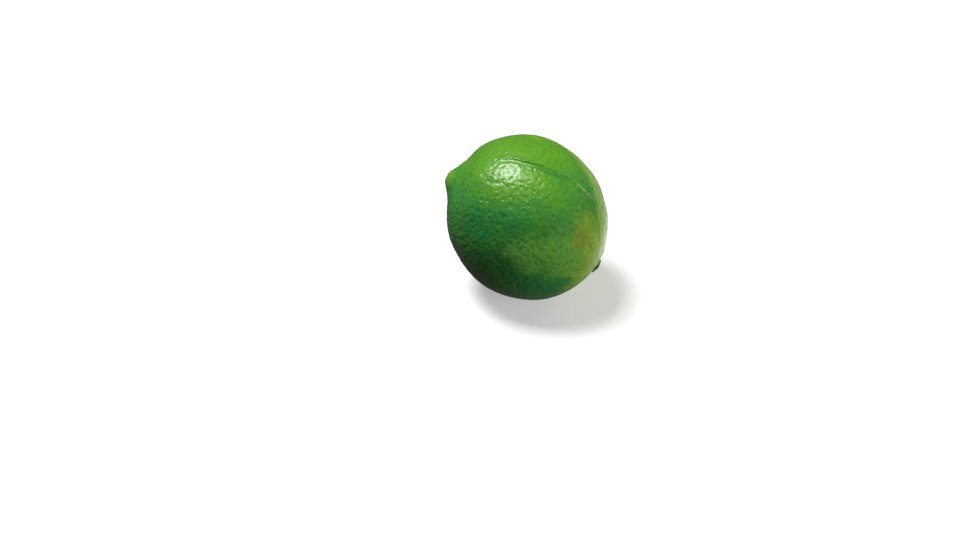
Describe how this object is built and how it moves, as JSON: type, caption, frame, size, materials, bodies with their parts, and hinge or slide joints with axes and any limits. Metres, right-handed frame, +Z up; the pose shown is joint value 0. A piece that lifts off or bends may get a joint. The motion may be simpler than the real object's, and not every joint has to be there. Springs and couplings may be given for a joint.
{
  "type": "lime",
  "caption": "Whole lime, a short oval citrus fruit with a blunt nose and a dry calyx, lying on its side on a small flat spot.",
  "frame": {"origin": "middle of the small flat spot on the rind that the lime rests on", "axes": "+Z up from the surface that the lime rests on; the fruit's own axis lies in the XZ plane, the nose at -X raised 30 degrees above the level and the calyx at +X lowered by as much"},
  "size_m": [0.0553, 0.0542, 0.0549],
  "materials": {
    "rind": "waxy semi-gloss green rind with small oil-gland pits, yellower on the upper side, with an olive patch by the stem end",
    "calyx": "dry, matt, brown and olive plant tissue with a paler stalk scar"
  },
  "bodies": {
    "root": {"fruit": "rind", "calyx": "calyx"}
  },
  "joints": []
}
